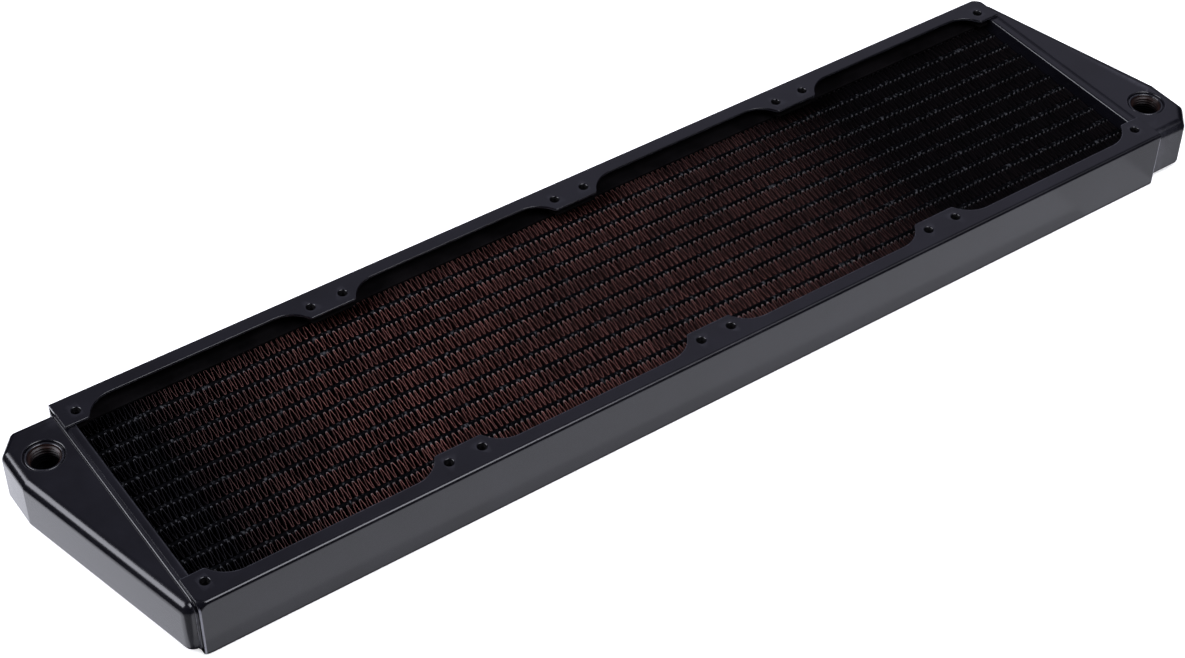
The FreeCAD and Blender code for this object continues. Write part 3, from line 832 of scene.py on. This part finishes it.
def make_bushing(side_name, turn_over):
    """The sunk seat's rolled rim, the bushing's face and the helical thread below it."""
    top = TANK_HIGH.z
    face = BUSHING_HIGH.z
    foot = BUSHING_LOW.z
    centre = (-PORT.x, -PORT.y) if turn_over else (PORT.x, PORT.y)
    rim = arc((SEAT_ROLL_RADIUS, top - SEAT_ROLL), SEAT_ROLL, 90, 180, 8)
    rim += [(BUSHING_RADIUS, face - 0.5), (GROOVE_RADIUS, face - 0.5),
            (GROOVE_RADIUS, face - 0.3), (GROOVE_RADIUS - 0.3, face)]
    rim += [(7.0, face), (THREAD_MAJOR + 0.1, face - 0.35)]
    outside = [(BUSHING_RADIUS, foot), (BUSHING_RADIUS, face - 1.2),
               (SEAT_ROLL_RADIUS, face - 1.2), (SEAT_ROLL_RADIUS, top)]
    rings = []
    for step in range(SEAT_STEPS + 1):
        turn = step / SEAT_STEPS
        rings.append(swung(rim + thread_profile(turn) + outside, centre, math.tau * turn))
    vertices, faces = loft(rings, capped=False)
    width = len(rings[0])
    threaded = range(len(rim) - 1, len(rim) + THREAD_STEPS)
    face_materials = [1 if index % width in threaded else 0 for index in range(len(faces))]
    node = f"port_bushing_{side_name}"
    piece(node + "_threaded", vertices, faces, [PAINTED, THREAD], node,
          face_materials, sharp=50)


make_bushing("right", False)
make_bushing("left", True)


# ---------------------------------------------------------------- tubes

TUBE_STEP = 1.6                 # between two sections along a tube
TUBE_SWAY = 0.06                # how far a tube wanders sideways
TUBE_RIPPLE = 0.02              # and how uneven its skin is


def make_tube(number):
    """A flat tube, round at its top and bottom, with a slightly uneven skin of paint and solder."""
    draw = random.Random(100 + number)
    node = f"tube_{number:02d}"
    low, high = extent(node)
    middle = (low.y + high.y) / 2
    radius = TUBE_THICK / 2
    steps = round(2 * TUBE_END / TUBE_STEP)
    rings = []
    for step in range(steps + 1):
        x = -TUBE_END + 2 * TUBE_END * step / steps
        sway = (middle + TUBE_SWAY * math.sin(x / 23 + number)
                + draw.uniform(-TUBE_RIPPLE, TUBE_RIPPLE))
        section = arc((sway, high.z - radius), radius, 0, 180, 10)
        section += arc((sway, low.z + radius), radius, 180, 360, 10)
        rings.append([(x, y, z) for y, z in section])
    vertices, faces = loft(rings)
    piece(node + "_painted", vertices, faces, [TUBE_PAINT], node, sharp=60)


for tube_number in range(1, TUBE_COUNT + 1):
    make_tube(tube_number)


# ---------------------------------------------------------------- fin strips

FIN_WAVE = 2.55                 # two folds
FIN_SKIN = 0.078                # half of the painted sheet's thickness
FIN_CLEAR = 0.01                # between a crest and its tube
FIN_SHEAR = 0.13                # how far the folds lean along the strip, for each mm across it
CROWDING = 0.65                 # the folds bunch up and spread by this much along a strip
DRIFT = 0.18                    # and each crest strays by this much from the one before
LOUVRE = 0.17                   # how far a louvre's slat stands out
FIN_LEAN = 0.38                 # how far a fold's upper edge may be bent along the strip
FIN_DIP = 0.26                  # and how far it may be pressed down
FIN_REACH = TRAY_X - 0.6        # the folds run on between the tubes to just before the trays
END_EASE = 12                   # the folds get even over this stretch before the strip's ends
EDGE_DROP = 0.02                # the strip's edges stay this far inside the CAD's
# half a fold, from one crest's middle to the next one's: along, across, share of the louvre
HALF_FOLD = ((0.0, 1.0, 0), (0.15, 1.0, 0), (0.24, 0.96, 0), (0.29, 0.87, 0), (0.315, 0.76, 1),
             (0.5, 0.0, 1), (0.685, -0.76, 1), (0.71, -0.87, 0), (0.76, -0.96, 0), (0.85, -1.0, 0))
# down a fin's edge: depth and how far the louvre's slat stands out there
SLATS = ((0.12, 0), (1.22, 1), (1.34, -1), (2.42, 1), (2.54, -1), (3.6, 0))


def fin_path(draw, half_height):
    """The strip's folds from above as (place, louvre, share across), unevenly spaced."""
    half_wave = FIN_WAVE / 2
    count = round(2 * FIN_REACH / half_wave)
    phase = draw.uniform(0, math.tau)
    crests = []
    drift = 0.0
    for index in range(count + 1):
        drift = 0.75 * drift + draw.uniform(-DRIFT, DRIFT)
        even = -FIN_REACH + index * half_wave
        crowd = CROWDING * math.sin(even / 5.3 + phase) * math.sin(even / 17 + 2 * phase)
        ends = min(1.0, (FIN_REACH - abs(even)) / END_EASE)
        crests.append(even + (drift + crowd) * ends)
    points = []
    for index in range(count):
        side = 1 if index % 2 == 0 else -1
        reach = crests[index + 1] - crests[index]
        shear = FIN_SHEAR * min(1.0, (FIN_REACH - abs(crests[index])) / END_EASE)
        for along, across, louvre in HALF_FOLD:
            y = half_height * side * across
            place = Vector((crests[index] + reach * along + shear * y, y))
            points.append((place, louvre, across))
    return points


def fin_face(x, y, top, foot, stand, flex):
    """One face of the sheet at one place of its path, from its upper edge to its lower one.

    stand is how far a louvre's slats stand out, and flex how far the upper edge is bent.
    """
    upper = [(x + stand * out + flex * max(0.0, 1 - depth / 3), y, top - depth)
             for depth, out in SLATS]
    lower = [(x - stand * out, y, foot + depth) for depth, out in reversed(SLATS)]
    return upper + lower


def make_fin(number):
    """A corrugated strip between two tubes, louvred, and a little battered on its upper edge."""
    draw = random.Random(number)
    node = f"fin_strip_{number:02d}"
    low, high = extent(node)
    middle = (low.y + high.y) / 2
    path = fin_path(draw, (high.y - low.y) / 2 - FIN_SKIN - FIN_CLEAR)
    last = len(path) - 1
    rings = []
    lean = 0.0
    dip = 0.0
    for index, (point, louvre, across) in enumerate(path):
        if index % len(HALF_FOLD) == 0:
            lean = draw.uniform(-FIN_LEAN, FIN_LEAN)
            dip = draw.uniform(0.0, FIN_DIP)
        run = (path[min(index + 1, last)][0] - path[max(index - 1, 0)][0]).normalized()
        skin = (-run.y * FIN_SKIN, run.x * FIN_SKIN)
        free = 1 - across * across
        top = high.z - EDGE_DROP - dip * free
        flex = lean * free
        front, back = [fin_face(point.x + skin[0] * side, point.y + skin[1] * side + middle,
                                top, low.z, louvre * LOUVRE, flex) for side in (1, -1)]
        rings.append([(point.x + flex, point.y + middle, top)] + front
                     + [(point.x, point.y + middle, low.z + EDGE_DROP)] + back[::-1])
    vertices, faces = loft(rings)
    piece(node + "_folded", vertices, faces, [FIN_PAINT], node, sharp=None)


for fin_number in range(1, TUBE_COUNT + 2):
    make_fin(fin_number)


# ---------------------------------------------------------------- floor and light

# From here on, places and sizes are in metres.

FLOOR_REACH = 6.0
TABLE_GLOW = 0.001              # height of the light panels over the floor
PANEL_TINT = (0.90, 0.91, 1.0)


def make_floor():
    """A pale, faintly glowing table. Only the light panels on it are mirrored in the paint."""
    data = bpy.data.meshes.new("floor")
    corners = [(-FLOOR_REACH, -FLOOR_REACH, 0), (FLOOR_REACH, -FLOOR_REACH, 0),
               (FLOOR_REACH, FLOOR_REACH, 0), (-FLOOR_REACH, FLOOR_REACH, 0)]
    data.from_pydata(corners, [], [(0, 1, 2, 3)])
    n = Nodes("pale_floor")
    n.set(base_color=(0.88, 0.88, 0.88), roughness=0.9, emission_color=(1, 1, 1),
          emission_strength=0.62)
    data.materials.append(n.material)
    floor = bpy.data.objects.new("floor", data)
    floor.visible_glossy = False
    SCENE.collection.objects.link(floor)


def area_light(name, place, aim, size, radiance):
    """A soft box of that width and height, as bright as radiance."""
    data = bpy.data.lights.new(name, "AREA")
    data.shape = "RECTANGLE"
    data.size, data.size_y = size
    data.energy = radiance * math.pi * size[0] * size[1]
    data.color = PANEL_TINT
    lamp = bpy.data.objects.new(name, data)
    lamp.location = place
    lamp.rotation_mode = "QUATERNION"
    lamp.rotation_quaternion = (Vector(aim) - Vector(place)).to_track_quat("-Z", "Y")
    lamp.visible_camera = False
    SCENE.collection.objects.link(lamp)


def make_world():
    """A dim room, brightest high up at the back and towards +X."""
    world = bpy.data.worlds.new("studio")
    world.use_nodes = True
    tree = world.node_tree
    background = tree.nodes["Background"]
    place = tree.nodes.new("ShaderNodeTexCoord")
    split = tree.nodes.new("ShaderNodeSeparateXYZ")
    tree.links.new(place.outputs["Generated"], split.inputs["Vector"])

    def ramp(axis, start, end, low, high):
        node = tree.nodes.new("ShaderNodeMapRange")
        node.interpolation_type = "SMOOTHSTEP"
        tree.links.new(split.outputs[axis], node.inputs["Value"])
        for socket, number in (("From Min", start), ("From Max", end),
                               ("To Min", low), ("To Max", high)):
            node.inputs[socket].default_value = number
        return node.outputs["Result"]

    def product(a, b):
        node = tree.nodes.new("ShaderNodeMath")
        node.operation = "MULTIPLY"
        tree.links.new(a, node.inputs[0])
        tree.links.new(b, node.inputs[1])
        return node.outputs[0]

    high_back = product(ramp("Z", 0.12, 0.55, 0.01, 1.0), ramp("Y", 0.20, 0.44, 0.10, 1.0))
    strength = product(high_back, ramp("X", 0.12, 0.48, 0.13, 0.46))
    background.inputs["Color"].default_value = (0.80, 0.79, 1.0, 1)
    tree.links.new(strength, background.inputs["Strength"])
    SCENE.world = world


def table_light(name, low, high, radiance):
    """A light panel lying on the floor beside the part, from one corner to the other."""
    middle = ((low[0] + high[0]) / 2, (low[1] + high[1]) / 2, TABLE_GLOW)
    size = (high[0] - low[0], high[1] - low[1])
    area_light(name, middle, (middle[0], middle[1], 1), size, radiance)


make_floor()
make_world()
# these three shine on the rails' bends and on the tanks' rounded edges
area_light("overhead_left", (0.10, -0.62, 1.20), (0, -0.06, 0), (0.8, 0.85), 7.0)
area_light("overhead_right", (0.80, -0.62, 1.20), (0.1, -0.06, 0), (0.5, 0.85), 1.0)
area_light("left_box", (-1.30, 0.69, 1.13), (0, 0, 0.02), (1.4, 0.92), 7.3)
# and these are mirrored in the upright walls beside them
table_light("table_front_foot", (-0.2455, -0.0680), (0.200, -0.0625), 0.82)
table_light("table_front", (-0.2455, -0.110), (0.200, -0.068), 1.10)
table_light("table_front_end", (0.200, -0.110), (0.242, -0.0625), 0.98)
table_light("table_flank", (0.242, -0.110), (0.285, -0.0610), 0.78)
table_light("table_back", (-0.260, 0.0625), (0.27, 0.110), 1.10)
table_light("table_left", (-0.298, -0.0600), (-0.2465, 0.110), 1.60)
table_light("table_left_corner", (-0.298, -0.110), (-0.2455, -0.0605), 0.32)
table_light("table_right", (0.2665, -0.054), (0.330, 0.15), 0.76)
SCENE.view_settings.view_transform = "Standard"

bpy.context.view_layer.update()
